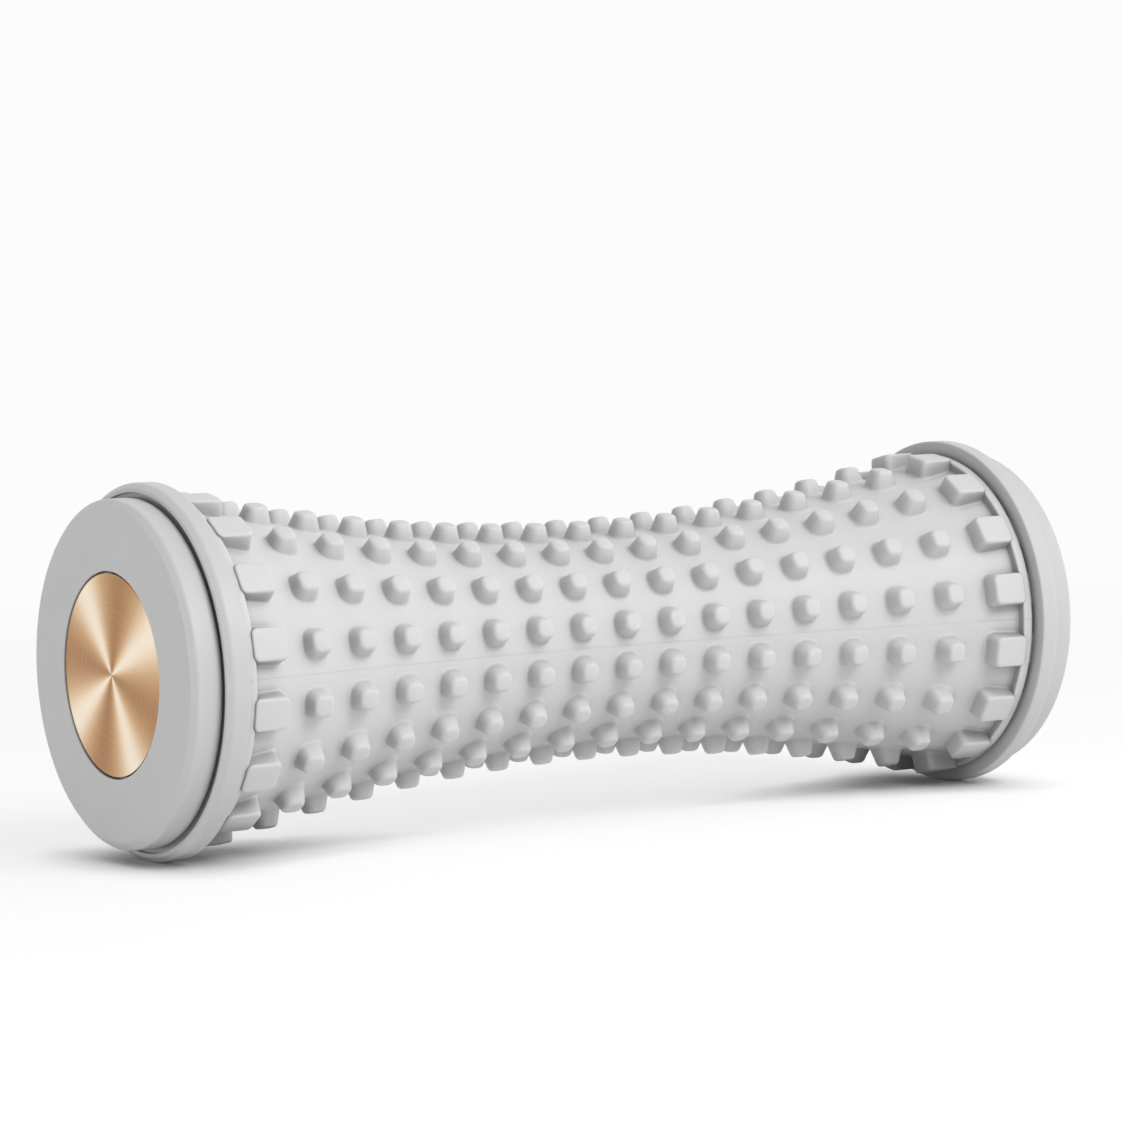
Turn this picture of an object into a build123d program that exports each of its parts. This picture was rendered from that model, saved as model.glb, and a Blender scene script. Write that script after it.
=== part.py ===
from build123d import *
import os
from math import sqrt

# Driving sizes of the roller, in millimetres
ring_radius = 30.0
half_length = 85.8
waist_radius = 17.2
shoulder_radius = 26.2
sleeve_wall = 3.0
core_wall = 2.2
joint_gap = 0.05
running_gap = 0.3
overrun = 1.0

# Lengths along the axis at each end, from the cap face inwards
cap_depth = 5.45
cap_gap = 0.35
ring_width = 3.7
groove_width = 0.6
ridge_width = 1.9

# End ridges of the sleeve
ridge_radius = 27.8
ridge_round = 0.35

# Massage knobs and end blocks
row_count = 16
knobs_each_side = 7
knob_pitch = 8.63
pitch_growth_share = 0.00046
knob_height = 3.0
knob_base = 4.8
knob_top = 3.2
knob_corner = 1.1
knob_edge = 0.45
knob_sink = 1.3
block_radius = 28.1
block_length = 6.15
block_width = 5.2
block_overlap = 0.55
block_draft = 0.5
block_corner = 1.0
block_edge = 0.5
block_sink = 2.0

# End rings
ring_front_round = 0.8
ring_rear_round = 0.35
ring_recess = 0.8
recess_gap = 1.2
hub_wall = 1.4
rib_width = 5.2
rib_drop = 0.9

# Core shells
tongue_length = 3.0

# Neck inserts with their quick-thread grooves
neck_length = 11.0
neck_collar_length = 6.6
neck_radius = 18.4
seal_ring_section = 1.6
seal_ring_inset = 3.2
thread_lead = 18.0
thread_starts = 3
turn_angle = 120.0
lug_span_angle = 24.0
lug_width = 2.0
lug_height = 1.2
lug_root = 0.6
stop_angle = 2.0

# Caps, their plugs and what they carry
cap_radius = 27.7
cap_front_round = 1.3
cap_rear_round = 0.9
spigot_radius = 15.5
spigot_wall = 1.8
spigot_length = 13.5
flange_radius = 24.3
flange_thickness = 1.5
seal_thickness = 1.5
seal_rim = 4.3
disc_radius = 16.1
disc_thickness = 0.9
disc_recess = 0.2
disc_edge = 0.15
pocket_gap = 0.3
pad_thickness = 0.3
pad_inset = 0.6

# Places along the axis that follow from the sizes
cap_rear_x = half_length - cap_depth
ring_floor_x = cap_rear_x - cap_gap
ring_outer_x = ring_floor_x + ring_recess
ring_inner_x = ring_outer_x - ring_width
sleeve_end_x = ring_inner_x - groove_width
ridge_x = sleeve_end_x - ridge_width
neck_end_x = cap_rear_x - seal_thickness
neck_inner_x = neck_end_x - neck_length
collar_x = neck_end_x - neck_collar_length

# Radii that follow from the sizes
waist_rise = shoulder_radius - waist_radius
waist_arc = (ridge_x * ridge_x + waist_rise * waist_rise) / (waist_rise + waist_rise)
collar_radius = shoulder_radius - sleeve_wall
core_bore = collar_radius - core_wall
neck_bore = spigot_radius + running_gap
groove_floor = spigot_radius + lug_height + running_gap
row_angle = 360 / row_count


def body_radius(x):
    """Outer radius of the waisted sleeve at a place along the axis."""
    return waist_radius + waist_arc - sqrt(waist_arc * waist_arc - x * x)


def turned(points):
    """Solid of revolution about the X axis from (x, radius) corners."""
    corners = [(x, 0, radius) for x, radius in points]
    profile = make_face(Polyline(*corners, close=True))
    return revolve(profile, Axis.X)


def tube(x0, x1, inner, outer):
    """Straight ring or tube about the X axis."""
    return turned([(x0, inner), (x1, inner), (x1, outer), (x0, outer)])


def waisted(x0, x1, shift):
    """Solid inside the waist curve, lowered by a wall, from x0 to x1."""
    middle = (x0 + x1) / 2
    start = (x0, 0, body_radius(x0) - shift)
    through = (middle, 0, body_radius(middle) - shift)
    end = (x1, 0, body_radius(x1) - shift)
    curve = ThreePointArc(start, through, end)
    base = Polyline(end, (x1, 0, 0), (x0, 0, 0), start)
    return revolve(make_face(Wire([curve, *base.edges()])), Axis.X)


def rims(solid, x, radius):
    """Round edges of a turned solid at one place and radius."""
    found = [e for e in solid.edges() if e.geom_type == GeomType.CIRCLE]
    found = [e for e in found if abs(e.arc_center.X - x) < joint_gap]
    return [e for e in found if abs(e.radius - radius) < joint_gap]


def at_row(row, shape):
    """Turn a shape that points up to one of the rows around the body."""
    return Rot((row + 1 / 2) * row_angle, 0, 0) * shape


def octagon(length, width, corner, height):
    """Corners of a rectangle with cut corners, at one height."""
    x, y = length / 2, width / 2
    quarter = [(x - corner, y), (x, y - corner)]
    half = quarter + [(px, -py) for px, py in reversed(quarter)]
    whole = half + [(-px, -py) for px, py in half]
    return [(px, py, height) for px, py in whole]


def drafted_boss(length, width, height, draft, sink, corner, edge):
    """Boss with flat drafted sides, cut corners and a bevelled top edge."""
    spread = draft * (height + sink) / height
    inner = 2 * edge
    levels = [
        octagon(length + 2 * spread, width + 2 * spread, corner + spread, -sink),
        octagon(length, width, corner, height - edge),
        octagon(length - inner, width - inner, corner - edge / 2, height),
    ]
    faces = [make_face(Polyline(*levels[0], close=True)).face()]
    faces.append(make_face(Polyline(*levels[-1], close=True)).face())
    for low, high in zip(levels, levels[1:]):
        for i in range(len(low)):
            quad = Polyline(low[i - 1], low[i], high[i], high[i - 1], close=True)
            faces.append(make_face(quad).face())
    return Solid(Shell(faces))


def knob_places():
    """Places of the knob columns, a little wider apart towards the ends."""
    columns = range(-knobs_each_side, knobs_each_side + 1)
    return [knob_pitch * c * (1 + pitch_growth_share * c * c) for c in columns]


def knobs():
    """All the knobs of the sleeve, standing square to the axis."""
    draft = (knob_base - knob_top) / 2
    knob = drafted_boss(
        knob_top, knob_top, knob_height, draft, knob_sink, knob_corner, knob_edge,
    )
    columns = [Pos(x, 0, body_radius(x)) * knob for x in knob_places()]
    return [at_row(row, knob) for row in range(row_count) for knob in columns]


def blocks(side):
    """The rectangular blocks of one end, which run from the knobs into the ridge."""
    centre = ridge_x + block_overlap - block_length / 2
    height = block_radius - body_radius(centre)
    block = drafted_boss(
        block_length, block_width, height, block_draft, block_sink, block_corner,
        block_edge,
    )
    block = Pos(side * centre, 0, body_radius(centre)) * block
    return [at_row(row, block) for row in range(row_count)]


def massage_sleeve():
    """Soft moulded sleeve with knobs, blocks and a ridge at each end."""
    places = knob_places()
    bounds = [(a + b) / 2 for a, b in zip(places, places[1:])]
    bounds = [-ridge_x, *bounds, ridge_x]
    sleeve = turned([(-ridge_x, 0), *[(x, body_radius(x)) for x in bounds], (ridge_x, 0)])
    for side in (-1, 1):
        ridge = tube(side * ridge_x, side * sleeve_end_x, 0, ridge_radius)
        ridge = fillet(rims(ridge, side * ridge_x, ridge_radius), ridge_round)
        sleeve += fillet(rims(ridge, side * sleeve_end_x, ridge_radius), ridge_round)
        sleeve += blocks(side)
    sleeve += knobs()
    bore = waisted(-ridge_x, ridge_x, sleeve_wall)
    bore += tube(-sleeve_end_x - overrun, -ridge_x, 0, collar_radius)
    bore += tube(ridge_x, sleeve_end_x + overrun, 0, collar_radius)
    return sleeve - bore


def core_shell(side):
    """Waisted half of the hard core, with half of the tongue joint at the waist."""
    outer = waisted(0, ridge_x, sleeve_wall + joint_gap)
    outer += tube(ridge_x, neck_end_x, 0, collar_radius - joint_gap)
    hollow = waisted(0, ridge_x, sleeve_wall + core_wall)
    hollow += tube(collar_x - joint_gap, neck_end_x, 0, core_bore)
    shell = outer - hollow
    inner = waist_radius - sleeve_wall - core_wall
    middle = inner + core_wall / 2
    if side > 0:
        return shell - tube(-overrun, tongue_length + joint_gap, 0, middle + joint_gap)
    tongue = tube(-tongue_length, tongue_length, inner, middle)
    return Rot(0, 0, 180) * shell + tongue


def end_ring():
    """Rolling ring round the cap's rear edge, with a rib behind each block."""
    ring = tube(ring_inner_x, ring_outer_x, collar_radius, ring_radius)
    ring = fillet(rims(ring, ring_outer_x, ring_radius), ring_front_round)
    ring = fillet(rims(ring, ring_inner_x, ring_radius), ring_rear_round)
    ring -= tube(ring_floor_x, ring_outer_x + overrun, 0, cap_radius + recess_gap)
    hook_bore = seal_outer() + running_gap
    hub_radius = collar_radius + hub_wall
    ring += tube(neck_end_x, ring_floor_x, hook_bore, collar_radius)
    ring += tube(sleeve_end_x, ring_inner_x, collar_radius, hub_radius)
    rib_top = ridge_radius - rib_drop
    rib_height = rib_top - collar_radius
    rib_centre = (sleeve_end_x + ring_inner_x) / 2
    rib = Box(groove_width, rib_width, rib_height)
    rib = Pos(rib_centre, 0, collar_radius + rib_height / 2) * rib
    ring += [at_row(row, rib) for row in range(row_count)]
    return ring - tube(sleeve_end_x - overrun, neck_end_x, 0, collar_radius)


def seal_outer():
    """Outer radius of the cap seal."""
    return spigot_radius + running_gap + seal_rim


def helical_bar(start_x, span, inner, outer, width):
    """Bar that winds about the X axis, one thread start, over a span in degrees."""
    middle = (inner + outer) / 2
    path = Helix(thread_lead, thread_lead * span / 360, middle)
    start = Plane(origin=path @ 0, x_dir=(1, 0, 0), z_dir=path % 0)
    bar = sweep(start * Rectangle(outer - inner, width), path=path, is_frenet=True)
    return Pos(start_x, 0, 0) * Rot(0, 90, 0) * bar


def around(shape, angle):
    """Copies of one shape for every thread start, turned by an angle."""
    step = 360 / thread_starts
    return [Rot(angle + step * index, 0, 0) * shape for index in range(thread_starts)]


def lug_start_x():
    """Inner end of a lug at rest: a full turn brings it out of the neck."""
    return neck_end_x - thread_lead * turn_angle / 360 + lug_width / 2 + running_gap


def neck_insert():
    """Neck welded in the core end, with helical grooves for the cap lugs."""
    neck = tube(neck_inner_x, neck_end_x, neck_bore, neck_radius)
    neck += tube(collar_x, neck_end_x, neck_radius, core_bore - joint_gap)
    seal_x = neck_end_x - seal_ring_inset
    half_seal = (seal_ring_section + joint_gap) / 2
    seal_floor = core_bore - seal_ring_section
    neck -= tube(seal_x - half_seal, seal_x + half_seal, seal_floor, core_bore + overrun)
    lead_in = thread_lead * stop_angle / 360
    span = turn_angle + lug_span_angle + 2 * stop_angle
    groove_width_along = lug_width + 2 * running_gap
    inner = neck_bore - overrun
    groove = helical_bar(
        lug_start_x() - lead_in, span, inner, groove_floor, groove_width_along,
    )
    neck -= around(groove, -stop_angle)
    return neck


def neck_seal():
    """Ring seal between the neck insert and the core."""
    section = (seal_ring_section - joint_gap) / 2
    seal_x = neck_end_x - seal_ring_inset
    ring = Torus(core_bore - joint_gap / 2 - section, section)
    return Pos(seal_x, 0, 0) * Rot(0, 90, 0) * ring


def cap_seal():
    """Flat seal under the cap flange, loose around the spigot."""
    inner = spigot_radius + running_gap
    return tube(neck_end_x + joint_gap, cap_rear_x - joint_gap, inner, seal_outer())


def cap_shell():
    """Visible cap with a round pocket in its face and a recess for the plug flange."""
    shell = tube(cap_rear_x, half_length, 0, cap_radius)
    shell = fillet(rims(shell, half_length, cap_radius), cap_front_round)
    shell = fillet(rims(shell, cap_rear_x, cap_radius), cap_rear_round)
    pocket_depth = disc_recess + disc_thickness + pad_thickness
    pocket_x = half_length - pocket_depth
    shell -= tube(pocket_x, half_length + overrun, 0, disc_radius + pocket_gap)
    recess_x = cap_rear_x + flange_thickness + joint_gap
    return shell - tube(cap_rear_x - overrun, recess_x, 0, flange_radius + joint_gap)


def cap_plug():
    """Flanged hollow plug that closes the neck and carries the lugs."""
    end_x = cap_rear_x - spigot_length
    plug = tube(cap_rear_x, cap_rear_x + flange_thickness, 0, flange_radius)
    plug += tube(end_x, cap_rear_x, 0, spigot_radius)
    lug = helical_bar(
        lug_start_x(), lug_span_angle, spigot_radius - lug_root,
        spigot_radius + lug_height, lug_width,
    )
    plug += around(lug, 0)
    hollow_x = end_x + spigot_wall
    rear_x = cap_rear_x + flange_thickness + overrun
    return plug - tube(hollow_x, rear_x, 0, spigot_radius - spigot_wall)


def cap_foam():
    """Insulating foam core inside the hollow plug."""
    start_x = cap_rear_x - spigot_length + spigot_wall + joint_gap
    radius = spigot_radius - spigot_wall - joint_gap
    return tube(start_x, cap_rear_x + flange_thickness, 0, radius)


def cap_disc():
    """Round metal disc in the face of the cap."""
    outer_x = half_length - disc_recess
    disc = tube(outer_x - disc_thickness, outer_x, 0, disc_radius)
    return chamfer(rims(disc, outer_x, disc_radius), disc_edge)


def disc_pad():
    """Adhesive pad between the disc and the floor of the pocket."""
    outer_x = half_length - disc_recess - disc_thickness
    return tube(outer_x - pad_thickness, outer_x, 0, disc_radius - pad_inset)


def write(name, shape):
    """Lift a piece so that the rings stand on the ground, and write it."""
    export_step(Pos(0, 0, ring_radius) * shape, "parts/" + name + ".step")


# The sleeve and the core
os.makedirs("parts", exist_ok=True)
write("massage_sleeve", massage_sleeve())
write("left_core_shell", core_shell(-1))
write("right_core_shell", core_shell(1))

# The pieces that both ends share, turned half round for the left end
end_pieces = {
    "end_ring": end_ring(),
    "neck_insert": neck_insert(),
    "neck_seal": neck_seal(),
    "cap_seal": cap_seal(),
    "cap_shell": cap_shell(),
    "cap_plug": cap_plug(),
    "cap_foam": cap_foam(),
    "cap_disc": cap_disc(),
    "disc_pad": disc_pad(),
}
for name, shape in end_pieces.items():
    write("right_" + name, shape)
    write("left_" + name, Rot(0, 0, 180) * shape)
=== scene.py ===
from math import cos, pi, radians, sin, sqrt, tau

import bmesh
import bpy
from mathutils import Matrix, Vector


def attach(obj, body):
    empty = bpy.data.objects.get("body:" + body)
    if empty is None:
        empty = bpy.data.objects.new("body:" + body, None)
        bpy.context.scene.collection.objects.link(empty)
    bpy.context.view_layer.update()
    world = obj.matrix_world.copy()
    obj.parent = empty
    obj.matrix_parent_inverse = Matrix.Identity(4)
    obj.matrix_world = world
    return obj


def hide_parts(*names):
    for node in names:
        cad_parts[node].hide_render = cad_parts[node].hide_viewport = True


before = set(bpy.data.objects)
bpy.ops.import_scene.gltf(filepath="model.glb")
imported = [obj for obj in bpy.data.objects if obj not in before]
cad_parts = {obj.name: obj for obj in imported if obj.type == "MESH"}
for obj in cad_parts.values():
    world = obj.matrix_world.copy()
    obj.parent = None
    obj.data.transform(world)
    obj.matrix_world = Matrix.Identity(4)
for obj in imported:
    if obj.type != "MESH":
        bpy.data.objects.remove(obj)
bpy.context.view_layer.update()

# Sizes in millimetres, the same as in the construction model
MM = 0.001
ring_radius = 30.0
half_length = 85.8
waist_radius = 17.2
shoulder_radius = 26.2
sleeve_wall = 3.0
cap_depth = 5.45
cap_gap = 0.35
ring_width = 3.7
groove_width = 0.6
ridge_width = 1.9
ridge_radius = 27.8
row_count = 16
knobs_each_side = 7
knob_pitch = 8.63
pitch_growth_share = 0.00046
knob_height = 3.0
block_radius = 28.1
block_length = 6.15
block_width = 5.2
block_overlap = 0.55
ring_recess = 0.8
recess_gap = 1.2
hub_wall = 1.4
rib_width = 5.2
rib_drop = 0.9
collar_radius = shoulder_radius - sleeve_wall
cap_radius = 27.7
spigot_radius = 15.5
spigot_wall = 1.8
spigot_length = 13.5
running_gap = 0.3
joint_gap = 0.05
seal_thickness = 1.5
seal_rim = 4.3
flange_radius = 24.3
flange_thickness = 1.5
disc_radius = 16.1
disc_thickness = 0.9
disc_recess = 0.2
pocket_gap = 0.3
pad_thickness = 0.3
pad_inset = 0.6
core_wall = 2.2
seal_ring_section = 1.6
seal_ring_inset = 3.2

# Fine forms that only the visible pieces have
recess_lip = 0.4
rib_root = 0.4
ridge_draft = 0.08
ring_chamfer = 0.85
cap_chamfer_depth = 1.0
cap_chamfer_height = 1.25
cap_rear_softening = 1.3
bead_width = 0.15
bead_root = 0.12
body_bead_height = 0.055
end_bead_height = 0.06

# Points of a mesh nearer than this become one
weld_distance = 0.002

# Places along the axis
cap_rear_x = half_length - cap_depth
ring_floor_x = cap_rear_x - cap_gap
ring_outer_x = ring_floor_x + ring_recess
ring_inner_x = ring_outer_x - ring_width
sleeve_end_x = ring_inner_x - groove_width
ridge_x = sleeve_end_x - ridge_width
curve_end_x = ridge_x - 0.6
neck_end_x = cap_rear_x - seal_thickness
core_bore = collar_radius - core_wall
recess_radius = cap_radius + recess_gap - recess_lip
seal_outer = spigot_radius + running_gap + seal_rim
waist_rise = shoulder_radius - waist_radius
waist_arc = (ridge_x * ridge_x + waist_rise * waist_rise) / (waist_rise + waist_rise)
row_angle = tau / row_count

# Where the points of a cell edge or a turned ring lie, as shares of half a cell
EDGE_SHARES = (-1.0, -0.86, -0.72, -0.36, 0.0, 0.36, 0.72, 0.86)
TURN_ANGLES = [
    row_angle * (row + (1 + share) / 2) for row in range(row_count) for share in EDGE_SHARES
]
FINE_TURN = [tau * (i + 0.5) / 256 for i in range(256)]

# The angles of the rows of knobs and blocks
ROW_TURNS = [row_angle * (row + 1 / 2) for row in range(row_count)]

# The two sides, level with the axis, where the moulds part
LEVEL_ANGLES = (pi / 2, -pi / 2)


def body_radius(x):
    """Radius of the waisted sleeve at a place along the axis."""
    return waist_radius + waist_arc - sqrt(waist_arc * waist_arc - x * x)


def turned_point(x, radius, angle):
    """Point at an angle about the axis, counted from straight up."""
    return (x, -radius * sin(angle), radius * cos(angle))


def row_point(x, across, out, turn):
    """Point beside the line of the row at an angle, and out from the axis."""
    return (x, -out * sin(turn) + across * cos(turn), out * cos(turn) + across * sin(turn))


class Form:
    """Points and faces of one piece, in millimetres about the roller's axis."""

    def __init__(self):
        self.points = []
        self.faces = []

    def ring(self, points):
        """Adds a loop of points and gives their numbers."""
        first = len(self.points)
        self.points.extend(points)
        return list(range(first, len(self.points)))

    def bridge(self, low, high):
        """Joins two loops of the same length with four-sided faces."""
        count = len(low)
        for i in range(count):
            j = (i + 1) % count
            self.faces.append((low[i], low[j], high[j], high[i]))

    def lathe(self, profile, angles, closed=True):
        """Turns a profile of (x, radius) points about the axis."""
        loops = [self.ring([turned_point(x, r, a) for a in angles]) for x, r in profile]
        for low, high in zip(loops, loops[1:]):
            self.bridge(low, high)
        if closed:
            self.bridge(loops[-1], loops[0])

    def build(self, name, body, material, replaced, sharp=42.0):
        """Makes the Blender object, lets it ride, and hides the construction piece it stands
        in for.
        """
        mesh = bpy.data.meshes.new(name)
        points = [(x * MM, y * MM, (z + ring_radius) * MM) for x, y, z in self.points]
        mesh.from_pydata(points, [], self.faces)
        work = bmesh.new()
        work.from_mesh(mesh)
        bmesh.ops.remove_doubles(work, verts=work.verts, dist=weld_distance * MM)
        bmesh.ops.recalc_face_normals(work, faces=work.faces)
        work.to_mesh(mesh)
        work.free()
        mesh.polygons.foreach_set("use_smooth", [True] * len(mesh.polygons))
        mesh.set_sharp_from_angle(angle=radians(sharp))
        mesh.materials.append(material)
        piece = bpy.data.objects.new(name, mesh)
        bpy.context.scene.collection.objects.link(piece)
        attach(piece, body)
        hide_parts(replaced)


def curve_points(start, corner, end, steps):
    """Points of a soft corner between two ends, both included."""
    found = []
    for i in range(steps + 1):
        t = i / steps
        a, b, c = (1 - t) ** 2, 2 * t * (1 - t), t ** 2
        found.append(tuple(a * s + b * m + c * e for s, m, e in zip(start, corner, end)))
    return found


# A point this share of a round outside it keeps its shading off the flats
GUARD_SHARE = 0.2


def soft_profile(corners, closed=True, steps=5):
    """Profile from (x, radius, round) corners, with each corner rounded."""
    found = []
    count = len(corners)
    for i, (x, r, rounding) in enumerate(corners):
        here = Vector((x, r))
        inner = closed or 0 < i < count - 1
        if not rounding or not inner:
            found.append((x, r))
            continue
        before = Vector(corners[i - 1][:2]) - here
        after = Vector(corners[(i + 1) % count][:2]) - here
        start = here + before.normalized() * rounding
        end = here + after.normalized() * rounding
        found.append(tuple(start + before.normalized() * rounding * GUARD_SHARE))
        found += curve_points(tuple(start), (x, r), tuple(end), steps)
        found.append(tuple(end + after.normalized() * rounding * GUARD_SHARE))
    return found


def mirrored(profile, side):
    """Profile of the right end, turned over for the left end where side is -1."""
    return [(side * x, r) for x, r in profile]


# Half sizes and corner of a knob at the waist, and how much they change by the ridge
KNOB_BASE, KNOB_BASE_GAIN = 2.36, 0.20
KNOB_TOP, KNOB_TOP_GAIN = 1.45, 0.22
KNOB_CORNER, KNOB_CORNER_LOSS = 1.20, 0.22
KNOB_LEAST_CORNER = 0.3

# Rounds at the foot and round the top of a knob and of a block
KNOB_FOOT, KNOB_EDGE = 0.46, 0.62
BLOCK_FOOT, BLOCK_EDGE = 0.36, 0.50

# A block's draft, its corner, and how far its wall goes on into the sleeve
BLOCK_DRAFT = 0.30
BLOCK_CORNER = 0.95
BLOCK_LEAST_CORNER = 0.25
BLOCK_ROOT = 0.7

# How much a corner grows with the half size of its level
CORNER_GROWTH = 0.8

# Slight dome of the tops: (share of the half size, rise), and the corner's share
KNOB_DOME = ((0.66, 0.035), (0.33, 0.055))
KNOB_DOME_CORNER = 0.5
KNOB_TIP = 0.06
BLOCK_DOME = ((0.66, 0.03), (0.33, 0.045))
BLOCK_DOME_CORNER = 0.4


def round_loop(half_x, half_w, corner):
    """Rectangle with round corners as 32 points, from the middle of a corner."""
    found = []
    for quarter in range(4):
        a, b = (half_x, half_w) if quarter % 2 == 0 else (half_w, half_x)
        u0, v0 = a - corner, b - corner
        side = [(-u0 + corner * cos(t), -v0 + corner * sin(t))
                for t in (radians(225), radians(247.5), radians(270))]
        side += [(-u0 / 2, -b), (0.0, -b), (u0 / 2, -b), (u0, -b)]
        side.append((u0 + corner * cos(radians(292.5)), -v0 + corner * sin(radians(292.5))))
        for _ in range(quarter):
            side = [(-v, u) for u, v in side]
        found += side
    return found


def edge_loop(low_x, high_x, centre_x):
    """Boundary of a cell as 32 points of (x from the centre, angle from the row)."""
    middle, half = (low_x + high_x) / 2 - centre_x, (high_x - low_x) / 2
    quarters = []
    for quarter in range(4):
        side = [(share, -1.0) for share in EDGE_SHARES]
        for _ in range(quarter):
            side = [(-v, u) for u, v in side]
        quarters += side
    return [(middle + half * u, row_angle / 2 * v) for u, v in quarters]


def boss_levels(draft, height, foot, edge):
    """Levels of a boss as (growth of its half size, height share)."""
    wall = [(draft * (1 - foot / height), foot), (draft * edge / height, height - edge)]
    levels = curve_points((draft + foot, 0.0), (draft, 0.0), wall[0], 5)
    levels += [(wall[0][0] * (1 - s) + wall[1][0] * s, wall[0][1] * (1 - s) + wall[1][1] * s)
               for s in (0.33, 0.67)]
    levels += curve_points(wall[1], (0.0, height), (-edge, height), 6)
    return [(growth, z / height) for growth, z in levels]


def lie_on(radius, w):
    """Height of a round surface above the axis, beside the row's own line."""
    return sqrt(radius * radius - w * w)


def knob_shape(centre_x):
    """Base, top and corner of a knob: rounder at the waist, squarer at the ends."""
    share = (centre_x / ridge_x) ** 2
    base = KNOB_BASE + KNOB_BASE_GAIN * share
    top = KNOB_TOP + KNOB_TOP_GAIN * share
    corner = KNOB_CORNER - KNOB_CORNER_LOSS * share
    return base, top, corner


def knob_cells(form):
    """The field of knobs, one cell of the surface each; gives where the field ends."""
    columns = range(-knobs_each_side, knobs_each_side + 1)
    places = [knob_pitch * c * (1 + pitch_growth_share * c * c) for c in columns]
    bounds = [(a + b) / 2 for a, b in zip(places, places[1:])]
    last = places[-1] + (places[-1] - bounds[-1])
    bounds = [-last, *bounds, last]
    for low_x, high_x, centre in zip(bounds, bounds[1:], places):
        base, top, corner = knob_shape(centre)
        crest = body_radius(centre) + knob_height
        border = []
        for x, angle in edge_loop(low_x, high_x, centre):
            radius = body_radius(centre + x)
            border.append((x, radius * sin(angle), radius * cos(angle)))
        levels = boss_levels(base - top, knob_height, KNOB_FOOT, KNOB_EDGE)
        loops = []
        for growth, rise in levels:
            half = top + growth
            round_corner = max(corner + growth * CORNER_GROWTH, KNOB_LEAST_CORNER)
            loop = []
            for x, w in round_loop(half, half, round_corner):
                ground = lie_on(body_radius(centre + x), w)
                loop.append((x, w, ground + (crest - ground) * rise))
            loops.append(loop)
        foot = loops[0]
        middle = []
        for (x0, w0, _), (x1, w1, _) in zip(border, foot):
            x, w = (x0 + x1) / 2, (w0 + w1) / 2
            middle.append((x, w, lie_on(body_radius(centre + x), w)))
        inner = top - KNOB_EDGE
        for share, dome in KNOB_DOME:
            half = inner * share
            shape = round_loop(half, half, half * KNOB_DOME_CORNER)
            loops.append([(x, w, crest + dome) for x, w in shape])
        loops = [border, middle, *loops]
        for turn in ROW_TURNS:
            numbers = [form.ring([row_point(centre + x, w, n, turn) for x, w, n in loop])
                       for loop in loops]
            for a, b in zip(numbers, numbers[1:]):
                form.bridge(a, b)
            tip = form.ring([turned_point(centre, crest + KNOB_TIP, turn)])[0]
            ends = numbers[-1]
            for i in range(len(ends)):
                form.faces.append((ends[i], ends[(i + 1) % len(ends)], tip))
    return last


def block_forms(form, side):
    """The rectangular blocks of one end, which run into the ridge."""
    centre = ridge_x + block_overlap - block_length / 2
    height = block_radius - body_radius(centre)
    half_x, half_w = block_length / 2, block_width / 2
    levels = boss_levels(BLOCK_DRAFT, height, BLOCK_FOOT, BLOCK_EDGE)
    loops = []
    for growth, rise in levels:
        corner = max(BLOCK_CORNER + growth * CORNER_GROWTH, BLOCK_LEAST_CORNER)
        loop = []
        for x, w in round_loop(half_x + growth, half_w + growth, corner):
            ground = lie_on(body_radius(centre + x), w)
            loop.append((x, w, ground + (block_radius - ground) * rise))
        loops.append(loop)
    under = [(x, w, n - BLOCK_ROOT) for x, w, n in loops[0]]
    loops = [under, *loops]
    inner_x, inner_w = half_x - BLOCK_EDGE, half_w - BLOCK_EDGE
    for share, dome in BLOCK_DOME:
        shape = round_loop(inner_x * share, inner_w * share,
                           inner_w * share * BLOCK_DOME_CORNER)
        loops.append([(x, w, block_radius + dome) for x, w in shape])
    for turn in ROW_TURNS:
        numbers = [form.ring([row_point(side * (centre + x), w, n, turn) for x, w, n in loop])
                   for loop in loops]
        for a, b in zip(numbers, numbers[1:]):
            form.bridge(a, b)
        form.faces.append(tuple(numbers[0]))
        form.faces.append(tuple(numbers[-1]))


def parting_bead(form, profile, angle, height):
    """Fine raised line that the mould leaves along a profile."""
    flank = (bead_width / 2, height * 0.7)
    section = ((-bead_width, -bead_root), (-flank[0], flank[1]), (0.0, height), flank,
               (bead_width, -bead_root))
    loops = []
    for x, r in profile:
        loops.append(form.ring([
            turned_point(x, r + up, angle + across / r) for across, up in section
        ]))
    for low, high in zip(loops, loops[1:]):
        form.bridge(low, high)
    form.faces.append(tuple(loops[0]))
    form.faces.append(tuple(loops[-1]))


def spread(start, end, count):
    """Evenly spaced places between two ends, both included."""
    return [start + (end - start) * i / count for i in range(count + 1)]


def end_bead(form, side, radius, start_x, end_x, angle):
    """Parting line across the rim of a piece at one end."""
    profile = [(side * x, radius) for x in spread(start_x, end_x, 2)]
    parting_bead(form, profile, angle, end_bead_height)


# Materials

def srgb(red, green, blue):
    """Colour as the shader wants it, from its screen values."""
    def straight(value):
        share = value / 255
        return share / 12.92 if share <= 0.04045 else ((share + 0.055) / 1.055) ** 2.4
    return (straight(red), straight(green), straight(blue), 1.0)


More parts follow.
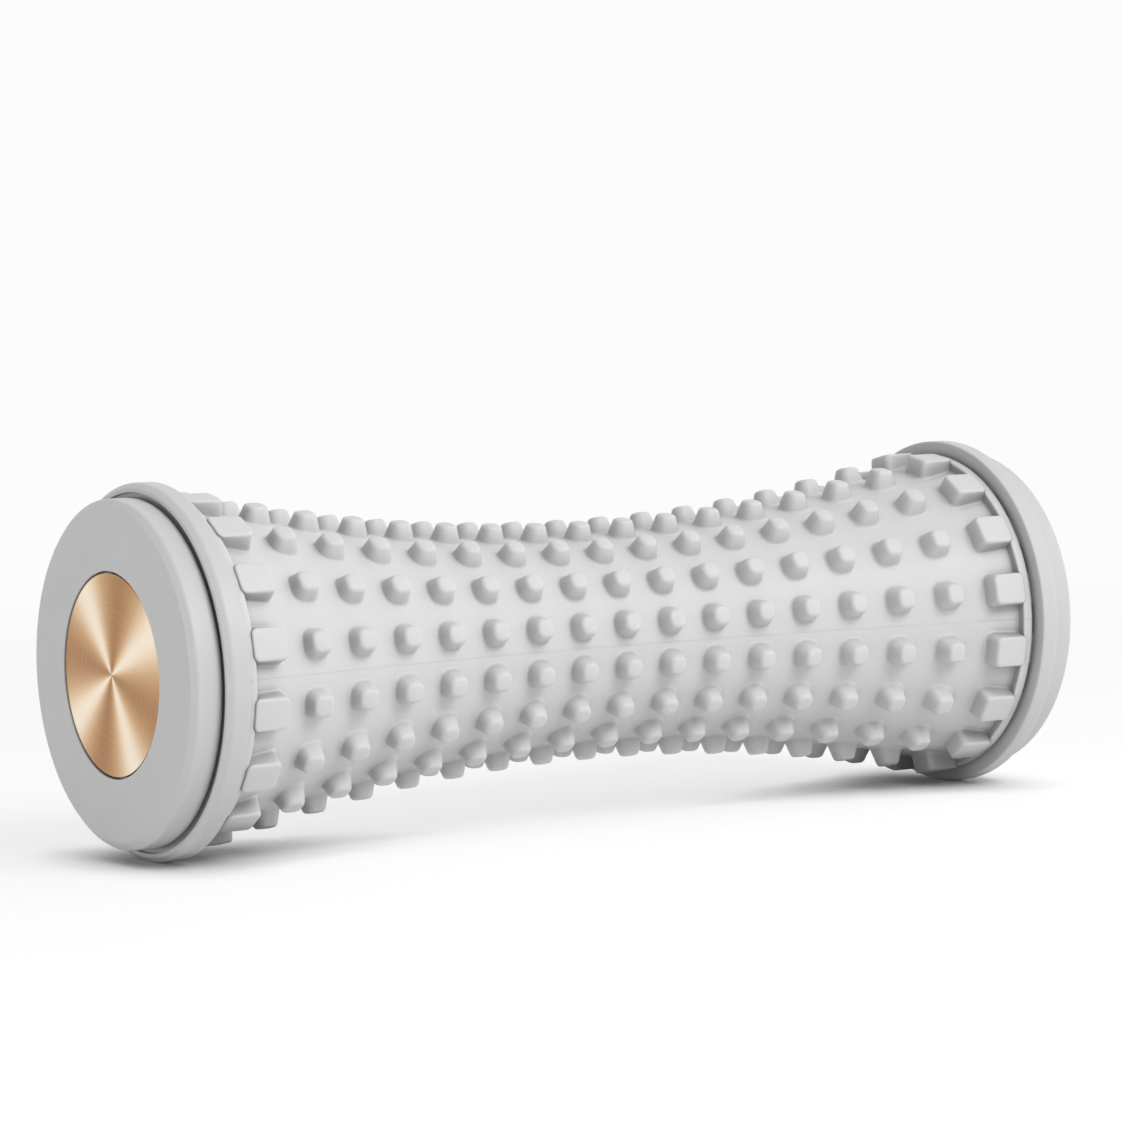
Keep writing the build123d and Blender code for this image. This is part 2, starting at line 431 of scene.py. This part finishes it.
class Surface:
    """One procedural material and short ways to add its nodes."""

    def __init__(self, name):
        self.material = bpy.data.materials.new(name)
        self.material.use_nodes = True
        self.tree = self.material.node_tree
        self.shader = self.tree.nodes["Principled BSDF"]
        self.place = self.node("ShaderNodeTexCoord").outputs["Object"]

    def node(self, kind, **settings):
        """Adds a node and sets what it is told to."""
        made = self.tree.nodes.new(kind)
        for key, value in settings.items():
            setattr(made, key, value)
        return made

    def link(self, source, target):
        """Leads an output to an input."""
        self.tree.links.new(source, target)

    def fill(self, socket, value):
        """Sets a plain value on an input, or leads an output to it."""
        if isinstance(value, (int, float, tuple)):
            socket.default_value = value
        else:
            self.link(value, socket)

    def noise(self, scale, detail):
        """Noise over the place on the object."""
        made = self.node("ShaderNodeTexNoise")
        made.inputs["Scale"].default_value = scale
        made.inputs["Detail"].default_value = detail
        self.link(self.place, made.inputs["Vector"])
        return made.outputs["Fac"]

    def ramp(self, source, stops):
        """Colour from a value, with stops of (place, colour)."""
        made = self.node("ShaderNodeValToRGB")
        ramp = made.color_ramp
        while len(ramp.elements) < len(stops):
            ramp.elements.new(0.5)
        for element, (at, colour) in zip(ramp.elements, stops):
            element.position = at
            element.color = colour
        self.link(source, made.inputs["Fac"])
        return made.outputs["Color"]

    def levels(self, source, low, high, from_low=0.3, from_high=0.7):
        """Turns one range of values into another and holds it at its ends."""
        made = self.node("ShaderNodeMapRange")
        for key, value in (("From Min", from_low), ("From Max", from_high),
                           ("To Min", low), ("To Max", high)):
            made.inputs[key].default_value = value
        self.link(source, made.inputs["Value"])
        return made.outputs["Result"]

    def maths(self, kind, *values):
        """One step of arithmetic on values or outputs."""
        made = self.node("ShaderNodeMath", operation=kind)
        for socket, value in zip(made.inputs, values):
            self.fill(socket, value)
        return made.outputs["Value"]

    def mix(self, share, first, second):
        """Colour between two colours."""
        made = self.node("ShaderNodeMix", data_type="RGBA")
        sockets = [s for s in made.inputs if s.enabled]
        for socket, value in zip(sockets, (share, first, second)):
            self.fill(socket, value)
        return [s for s in made.outputs if s.enabled][0]

    def bump(self, source, distance, strength, below=None):
        """Fine relief from a height, on top of the relief below it if there is one."""
        made = self.node("ShaderNodeBump")
        made.inputs["Strength"].default_value = strength
        made.inputs["Distance"].default_value = distance
        self.link(source, made.inputs["Height"])
        if below is not None:
            self.link(below, made.inputs["Normal"])
        return made.outputs["Normal"]

    def use(self, **sockets):
        """Fills the shader's inputs and gives the material."""
        for key, value in sockets.items():
            self.fill(self.shader.inputs[key.replace("_", " ")], value)
        return self.material


# How light the painted edge highlights are and how dark the painted shade in hollows is,
# against the base colour
EDGE_HIGHLIGHT_TONE = 1.3
PAINTED_SHADE_TONE = 0.35

# Pointiness from which an edge gets its painted highlight, and where that is strongest
EDGE_HIGHLIGHT_FROM, EDGE_HIGHLIGHT_TO = 0.51, 0.60

# Share of open sky from which a place is no hollow and gets no painted shade
OPEN_SHARE = 0.80

# Scales of the clouds in the colour and in the gloss, and how strong its specks are
CLOUD_SCALE = 45.0
GLOSS_SCALE = 160.0
SPECK_SHARE = 0.05

# Slow waves of the surface: their scale, and their height in metres
WAVE_SCALE = 220.0
WAVE_DEPTH = 0.00003


def moulded(name, base, variation, rough, grain, grain_depth, edge_highlight=0.4, reach=2.5,
            cavity=0.5, deepest=0.20):
    """Moulded polymer: cloudy colour, fine grain, painted highlights on its edges, painted
    shade in its hollows and uneven gloss.

    Rough is the range of its roughness, grain the scale of its grain and grain_depth the
    height of that in metres. The edge_highlight is how far edges pale, a painted highlight.
    Cavity is how far hollows darken with painted shade, deepest the open share at which
    they are darkest, and reach how far away, in millimetres, a wall still shelters a place.
    """
    surface = Surface(name)
    dark = tuple(c * (1 - variation) for c in base[:3]) + (1.0,)
    light = tuple(min(c * (1 + variation), 1.0) for c in base[:3]) + (1.0,)
    clouds = surface.noise(CLOUD_SCALE, 3.0)
    colour = surface.ramp(clouds, ((0.3, dark), (0.7, light)))
    specks = surface.levels(surface.noise(grain * 0.5, 2.0), 0.0, SPECK_SHARE)
    colour = surface.mix(specks, colour, dark)
    # Painted highlight: edges that pointiness finds convex are lightened in the colour
    edges = surface.node("ShaderNodeNewGeometry").outputs["Pointiness"]
    edge_highlight_share = surface.levels(edges, 0.0, edge_highlight, EDGE_HIGHLIGHT_FROM, EDGE_HIGHLIGHT_TO)
    bright = tuple(min(c * EDGE_HIGHLIGHT_TONE, 1.0) for c in base[:3]) + (1.0,)
    colour = surface.mix(edge_highlight_share, colour, bright)
    # Painted shade: places the ambient occlusion finds sheltered by nearby walls are darkened
    # in the colour
    shelter = surface.node("ShaderNodeAmbientOcclusion", samples=12)
    shelter.inputs["Distance"].default_value = reach * MM
    painted_shade = surface.levels(shelter.outputs["AO"], cavity, 0.0, deepest, OPEN_SHARE)
    colour = surface.mix(painted_shade, colour, tuple(c * PAINTED_SHADE_TONE for c in base[:3]) + (1.0,))
    gloss = surface.levels(surface.noise(GLOSS_SCALE, 3.0), rough[0], rough[1])
    fine = surface.bump(surface.noise(grain, 2.0), grain_depth, 0.6)
    waves = surface.bump(surface.noise(WAVE_SCALE, 1.0), WAVE_DEPTH, 0.5, below=fine)
    return surface.use(Base_Color=colour, Roughness=gloss, Normal=waves)


sleeve_finish = moulded("soft_sleeve_grain", srgb(219, 219, 219), 0.015, (0.44, 0.54),
                        5200.0, 0.000006, edge_highlight=0.20, reach=8.0, cavity=0.82, deepest=0.50)
ring_finish = moulded("end_plastic_satin", srgb(210, 210, 210), 0.012, (0.40, 0.50),
                      6500.0, 0.000004, edge_highlight=0.1, reach=3.2)
core_finish = moulded("core_plastic_plain", srgb(188, 189, 190), 0.03, (0.36, 0.48),
                      4000.0, 0.000006)
seal_finish = moulded("seal_rubber_matte", srgb(86, 87, 88), 0.06, (0.62, 0.78),
                      5200.0, 0.000008)
pad_finish = moulded("adhesive_pad_film", srgb(62, 62, 64), 0.05, (0.30, 0.50),
                     3000.0, 0.000006)


def foam_material():
    """Closed-cell foam: pale, with many small pits."""
    surface = Surface("foam_cells")
    cells = surface.node("ShaderNodeTexVoronoi")
    cells.inputs["Scale"].default_value = 1400.0
    surface.link(surface.place, cells.inputs["Vector"])
    pits = cells.outputs["Distance"]
    colour = surface.ramp(pits, ((0.0, srgb(196, 194, 188)), (0.7, srgb(232, 231, 226))))
    rough = surface.levels(pits, 0.95, 0.8, 0.0, 0.7)
    bump = surface.bump(pits, 0.0002, 0.8)
    return surface.use(Base_Color=colour, Roughness=rough, Normal=bump)


# The disc's fan of painted reflections: how many light rays it paints, where they stand, and
# how far they sway to one side
FAN_RAYS = 4.0
FAN_TURN = radians(117.0)
FAN_SWAY = radians(18.0)
FAN_SWAY_SIDE = radians(150.0)


def disc_material():
    """Bronze-coloured metal, spun-brushed about the axis: real anisotropic gloss, and a fan
    of painted reflections in its colour.
    """
    surface = Surface("bronze_spun")
    apart = surface.node("ShaderNodeSeparateXYZ")
    surface.link(surface.place, apart.inputs["Vector"])
    up = surface.maths("SUBTRACT", apart.outputs["Z"], ring_radius * MM)
    across = apart.outputs["Y"]
    radius = surface.maths("SQRT", surface.maths(
        "ADD", surface.maths("MULTIPLY", up, up), surface.maths("MULTIPLY", across, across)))
    angle = surface.maths("ARCTAN2", up, surface.maths("MULTIPLY", across, -1.0))

    def circles(scale, detail):
        made = surface.node("ShaderNodeTexNoise", noise_dimensions="1D")
        made.inputs["Scale"].default_value = scale
        made.inputs["Detail"].default_value = detail
        made.inputs["Roughness"].default_value = 0.7
        surface.link(radius, made.inputs["W"])
        return made.outputs["Fac"]

    fine = circles(9000.0, 3.0)
    coarse = circles(1500.0, 2.0)
    shift = surface.levels(fine, -0.06, 0.06)
    turn = surface.maths("ADD", surface.maths("MULTIPLY", angle, FAN_RAYS), shift)
    uneven = surface.maths("COSINE", surface.maths("SUBTRACT", angle, FAN_SWAY_SIDE))
    turn = surface.maths("SUBTRACT", turn, surface.maths("MULTIPLY", uneven, FAN_SWAY))
    turn = surface.maths("SUBTRACT", turn, FAN_TURN)
    painted_fan = surface.levels(surface.maths("COSINE", turn), 0.0, 1.0, -1.0, 1.0)
    # Painted reflection: the fan runs from the dark bronze of the metal to a near-white
    # highlight colour
    colour = surface.ramp(painted_fan, (
        (0.0, srgb(171, 125, 81)), (0.25, srgb(191, 147, 102)),
        (0.5, srgb(208, 168, 125)), (0.75, srgb(231, 200, 164)),
        (1.0, srgb(255, 240, 219))))
    streak = surface.levels(fine, 0.0, 0.14)
    colour = surface.mix(streak, colour, srgb(156, 115, 78))
    band = surface.levels(coarse, 0.0, 0.06)
    colour = surface.mix(band, colour, srgb(250, 222, 186))
    rough = surface.levels(fine, 0.24, 0.38)
    bump = surface.bump(fine, 0.000004, 0.5)
    tangent = surface.node("ShaderNodeTangent", direction_type="RADIAL", axis="X")
    return surface.use(
        Base_Color=colour, Metallic=1.0, Roughness=rough, Anisotropic=0.75,
        Tangent=tangent.outputs["Tangent"], Normal=bump)


foam_finish = foam_material()
disc_finish = disc_material()

# The soft sleeve with its knobs, blocks, ridges and parting lines
sleeve = Form()
field_x = knob_cells(sleeve)
end_outer = [(x, body_radius(x)) for x in spread(field_x, curve_end_x, 8)]
end_steps = soft_profile([
    (curve_end_x, body_radius(curve_end_x), 0), (ridge_x, shoulder_radius, 0.25),
    (ridge_x + ridge_draft, ridge_radius, 0.42), (sleeve_end_x, ridge_radius, 0.42),
    (sleeve_end_x, collar_radius, 0.15), (ridge_x, collar_radius, 0),
], closed=False)
half_profile = end_outer[:-1] + end_steps
bore = [(x, body_radius(x) - sleeve_wall) for x in spread(ridge_x, -ridge_x, 48)]
whole_profile = half_profile + bore[1:-1] + mirrored(half_profile, -1)[::-1]
sleeve.lathe(whole_profile, TURN_ANGLES, closed=False)
for side in (-1, 1):
    block_forms(sleeve, side)
bead_profile = [(x, body_radius(x)) for x in spread(-ridge_x, ridge_x, 72)]
for level_angle in LEVEL_ANGLES:
    parting_bead(sleeve, bead_profile, level_angle, body_bead_height)
    for side in (-1, 1):
        end_bead(sleeve, side, ridge_radius, ridge_x + 0.5, sleeve_end_x - 0.4, level_angle)
sleeve.build("massage_sleeve_skin", "roller", sleeve_finish,
             "massage_sleeve", sharp=60.0)


def rib_form(form, side, turn):
    """Rib that bridges the groove behind a block, with softened edges."""
    low, high = sleeve_end_x + joint_gap, ring_inner_x + rib_root
    foot, crest = collar_radius, ridge_radius - rib_drop
    half_w = rib_width / 2
    outline = soft_profile([
        (-half_w, foot, 0), (-half_w, crest, 0.25), (half_w, crest, 0.25), (half_w, foot, 0),
    ], closed=False, steps=3)
    ends = [form.ring([row_point(side * x, w, n, turn) for w, n in outline])
            for x in (low, high)]
    form.bridge(*ends)
    form.faces += [tuple(end) for end in ends]


# The pieces of both ends
for side, end in ((-1, "left"), (1, "right")):
    ring = Form()
    ring_profile = soft_profile([
        (ring_outer_x, recess_radius, 0.08),
        (ring_outer_x, ring_radius - ring_chamfer, 0.10),
        (ring_outer_x - ring_chamfer, ring_radius, 0.40),
        (ring_inner_x, ring_radius, 0.35), (ring_inner_x, collar_radius + hub_wall, 0.1),
        (sleeve_end_x + joint_gap, collar_radius + hub_wall, 0.15),
        (sleeve_end_x + joint_gap, collar_radius + joint_gap, 0),
        (neck_end_x, collar_radius + joint_gap, 0), (neck_end_x, seal_outer + running_gap, 0),
        (ring_floor_x, seal_outer + running_gap, 0.2),
        (ring_floor_x, recess_radius, 0.2),
    ])
    ring.lathe(mirrored(ring_profile, side), FINE_TURN)
    for turn in ROW_TURNS:
        rib_form(ring, side, turn)
    for level_angle in LEVEL_ANGLES:
        end_bead(ring, side, ring_radius - 0.06, ring_inner_x + 0.5, ring_outer_x - 1.0,
                 level_angle)
    ring.build(end + "_rolling_ring", "roller", ring_finish, end + "_end_ring")

    cap = Form()
    pocket_x = half_length - disc_recess - disc_thickness - pad_thickness
    pocket_radius = disc_radius + pocket_gap
    recess_x = cap_rear_x + flange_thickness + joint_gap
    cap_profile = soft_profile([
        (pocket_x, 0, 0), (pocket_x, pocket_radius, 0.1),
        (half_length, pocket_radius, 0.16),
        (half_length, cap_radius - cap_chamfer_height, 0.3),
        (half_length - cap_chamfer_depth, cap_radius, 0.35),
        (cap_rear_x, cap_radius, cap_rear_softening),
        (cap_rear_x, flange_radius + joint_gap, 0.15),
        (recess_x, flange_radius + joint_gap, 0.1), (recess_x, 0, 0),
    ], closed=False)
    cap.lathe(mirrored(cap_profile, side), FINE_TURN, closed=False)
    for level_angle in LEVEL_ANGLES:
        end_bead(cap, side, cap_radius - 0.05, cap_rear_x + 1.4, half_length - 1.5,
                 level_angle)
    cap.build(end + "_cap_skin", end + "_cap", ring_finish, end + "_cap_shell")

    disc = Form()
    face_x = half_length - disc_recess
    disc_profile = soft_profile([
        (face_x - disc_thickness, 0, 0), (face_x - disc_thickness, disc_radius, 0.08),
        (face_x, disc_radius, 0.16), (face_x, disc_radius * 0.66, 0),
        (face_x, disc_radius * 0.33, 0), (face_x, 0.4, 0), (face_x, 0, 0),
    ], closed=False)
    disc.lathe(mirrored(disc_profile, side), FINE_TURN, closed=False)
    disc.build(end + "_spun_disc", end + "_cap", disc_finish, end + "_cap_disc")

    pad = Form()
    pad_outer_x = face_x - disc_thickness
    pad_profile = soft_profile([
        (pad_outer_x - pad_thickness, 0, 0),
        (pad_outer_x - pad_thickness, disc_radius - pad_inset, 0.05),
        (pad_outer_x, disc_radius - pad_inset, 0.05), (pad_outer_x, 0, 0),
    ], closed=False)
    pad.lathe(mirrored(pad_profile, side), FINE_TURN, closed=False)
    pad.build(end + "_pad_film", end + "_cap", pad_finish, end + "_disc_pad")

    foam = Form()
    foam_x = cap_rear_x - spigot_length + spigot_wall + joint_gap
    foam_radius = spigot_radius - spigot_wall - joint_gap
    foam_end = cap_rear_x + flange_thickness
    foam_profile = soft_profile([
        (foam_x, 0, 0), (foam_x, foam_radius, 0.4), (foam_end, foam_radius, 0.3),
        (foam_end, 0, 0),
    ], closed=False)
    foam.lathe(mirrored(foam_profile, side), FINE_TURN, closed=False)
    foam.build(end + "_foam_core", end + "_cap", foam_finish, end + "_cap_foam")

    gasket = Form()
    gasket_profile = soft_profile([
        (neck_end_x + joint_gap, spigot_radius + running_gap, 0.3),
        (neck_end_x + joint_gap, seal_outer, 0.35),
        (cap_rear_x - joint_gap, seal_outer, 0.35),
        (cap_rear_x - joint_gap, spigot_radius + running_gap, 0.3),
    ])
    gasket.lathe(mirrored(gasket_profile, side), FINE_TURN)
    gasket.build(end + "_flat_gasket", end + "_seal", seal_finish,
                 end + "_cap_seal")

    oring = Form()
    section = (seal_ring_section - joint_gap) / 2
    middle_x, middle_r = neck_end_x - seal_ring_inset, core_bore - joint_gap / 2 - section
    oring_profile = [
        (middle_x + section * cos(tau * i / 20), middle_r + section * sin(tau * i / 20))
        for i in range(20)
    ]
    oring.lathe(mirrored(oring_profile, side), FINE_TURN)
    oring.build(end + "_ring_gasket", "roller", seal_finish,
                end + "_neck_seal")

# The hard pieces whose construction shape is right keep it and get a finish
for name in ("core_shell", "neck_insert", "cap_plug"):
    for end in ("left", "right"):
        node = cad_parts[end + "_" + name]
        for material_slot in node.material_slots:
            material_slot.material = core_finish


# Studio: camera, light, world and floor
camera_data = bpy.data.cameras.new("photo_camera")
camera_data.sensor_width = 36.0
camera_data.lens = 141.3466
camera = bpy.data.objects.new("photo_camera", camera_data)
camera.location = (-0.3965422, -0.6188935, 0.0879706)
camera.rotation_euler = (radians(86.5138), radians(1.5718), radians(-32.6546))
bpy.context.scene.collection.objects.link(camera)
bpy.context.scene.camera = camera

# The world's level, how much more of it comes from the right than from above, and what
# the camera sees of the backdrop and of the floor near the object
AMBIENT = 0.545
SIDE_LIGHT = 0.44
BACKGROUND = 0.972
FLOOR_GLOW = 1.27

# How near a thing holds back the floor's glow, which paints contact shade on the floor, and
# where the floor fades out, in metres
CONTACT_REACH = 0.012
FADE_START, FADE_END = 0.22, 0.60

LAMP_DISTANCE = 0.90


def lamp(name, direction, width, height, level):
    """Soft lamp whose level is the brightness it gives a white matte surface."""
    data = bpy.data.lights.new(name, "AREA")
    data.shape = "RECTANGLE"
    data.size, data.size_y = width, height
    data.energy = level * pi * pi * LAMP_DISTANCE * LAMP_DISTANCE
    made = bpy.data.objects.new(name, data)
    way = Vector(direction).normalized()
    made.location = way * LAMP_DISTANCE + Vector((0, 0, ring_radius * MM))
    made.rotation_euler = way.to_track_quat("Z", "Y").to_euler()
    made.visible_camera = False
    bpy.context.scene.collection.objects.link(made)
    return made


lamp("key_light", (0.15, -0.78, 0.60), 0.50, 0.40, level=0.46)
lamp("disc_light", (-0.75, -0.35, 0.62), 0.20, 0.20, level=0.02)
cap_light = lamp("cap_light", (-1.0, 0.0, 0.0), 0.12, 0.12, level=0.23)
cap_light.visible_glossy = False

world = bpy.data.worlds.new("studio")
bpy.context.scene.world = world
world.use_nodes = True
sky = world.node_tree
sky_shader = sky.nodes["Background"]
sky_shader.inputs["Color"].default_value = (1.0, 1.0, 1.0, 1.0)


def seen_directly(tree):
    """One for rays from the camera, and for those that metal and glass reflect."""
    path = tree.nodes.new("ShaderNodeLightPath")
    first = tree.nodes.new("ShaderNodeMath")
    first.operation = "MAXIMUM"
    tree.links.new(path.outputs["Is Camera Ray"], first.inputs[0])
    tree.links.new(path.outputs["Is Glossy Ray"], first.inputs[1])
    second = tree.nodes.new("ShaderNodeMath")
    second.operation = "MAXIMUM"
    tree.links.new(first.outputs["Value"], second.inputs[0])
    tree.links.new(path.outputs["Is Transmission Ray"], second.inputs[1])
    return second.outputs["Value"]


sky_place = sky.nodes.new("ShaderNodeTexCoord")
sky_axes = sky.nodes.new("ShaderNodeSeparateXYZ")
sky.links.new(sky_place.outputs["Generated"], sky_axes.inputs["Vector"])
soft_light = sky.nodes.new("ShaderNodeMapRange")
soft_light.inputs["From Min"].default_value = -1.0
soft_light.inputs["To Min"].default_value = AMBIENT - SIDE_LIGHT
soft_light.inputs["To Max"].default_value = AMBIENT + SIDE_LIGHT
sky.links.new(sky_axes.outputs["X"], soft_light.inputs["Value"])
sky_level = sky.nodes.new("ShaderNodeMapRange")
sky_level.inputs["To Max"].default_value = BACKGROUND
sky.links.new(soft_light.outputs["Result"], sky_level.inputs["To Min"])
sky.links.new(seen_directly(sky), sky_level.inputs["Value"])
sky.links.new(sky_level.outputs["Result"], sky_shader.inputs["Strength"])


def floor_material():
    """Pale matte floor that fades into the white; near the object its glow is held back,
    which paints contact shade on top of the real shadows.
    """
    surface = Surface("studio_floor")
    tree = surface.tree
    grain = surface.ramp(surface.noise(6.0, 3.0), (
        (0.3, srgb(238, 238, 238)), (0.7, srgb(241, 241, 241))))
    surface.use(Base_Color=grain, Roughness=0.9, Specular_IOR_Level=0.0)
    glow = surface.node("ShaderNodeEmission")
    glow.inputs["Color"].default_value = (1.0, 1.0, 1.0, 1.0)
    glow.inputs["Strength"].default_value = FLOOR_GLOW
    lit = surface.node("ShaderNodeMixShader")
    # Painted contact shade: less glow where the ambient occlusion finds the object near the
    # floor
    contact = surface.node("ShaderNodeAmbientOcclusion", samples=12)
    contact.inputs["Distance"].default_value = CONTACT_REACH
    share = surface.levels(contact.outputs["AO"], 0.02, 0.50, 0.30, 0.95)
    surface.link(surface.maths("MULTIPLY", seen_directly(tree), share), lit.inputs["Fac"])
    surface.link(surface.shader.outputs["BSDF"], lit.inputs[1])
    surface.link(glow.outputs["Emission"], lit.inputs[2])
    far = surface.node("ShaderNodeEmission")
    far.inputs["Color"].default_value = (1.0, 1.0, 1.0, 1.0)
    far_level = surface.node("ShaderNodeMapRange")
    far_level.inputs["To Min"].default_value = AMBIENT
    far_level.inputs["To Max"].default_value = BACKGROUND
    surface.link(seen_directly(tree), far_level.inputs["Value"])
    surface.link(far_level.outputs["Result"], far.inputs["Strength"])
    length = surface.node("ShaderNodeVectorMath", operation="LENGTH")
    surface.link(surface.place, length.inputs[0])
    fade = surface.levels(length.outputs["Value"], 0.0, 1.0, FADE_START, FADE_END)
    blend = surface.node("ShaderNodeMixShader")
    surface.link(fade, blend.inputs["Fac"])
    surface.link(lit.outputs["Shader"], blend.inputs[1])
    surface.link(far.outputs["Emission"], blend.inputs[2])
    output = tree.nodes["Material Output"]
    surface.link(blend.outputs["Shader"], output.inputs["Surface"])
    return surface.material


floor_mesh = bpy.data.meshes.new("studio_floor")
half = 6.0
floor_mesh.from_pydata(
    [(-half, -half, 0), (half, -half, 0), (half, half, 0), (-half, half, 0)],
    [], [(0, 1, 2, 3)])
floor_mesh.materials.append(floor_material())
floor = bpy.data.objects.new("studio_floor", floor_mesh)
bpy.context.scene.collection.objects.link(floor)

bpy.context.scene.view_settings.view_transform = "Standard"
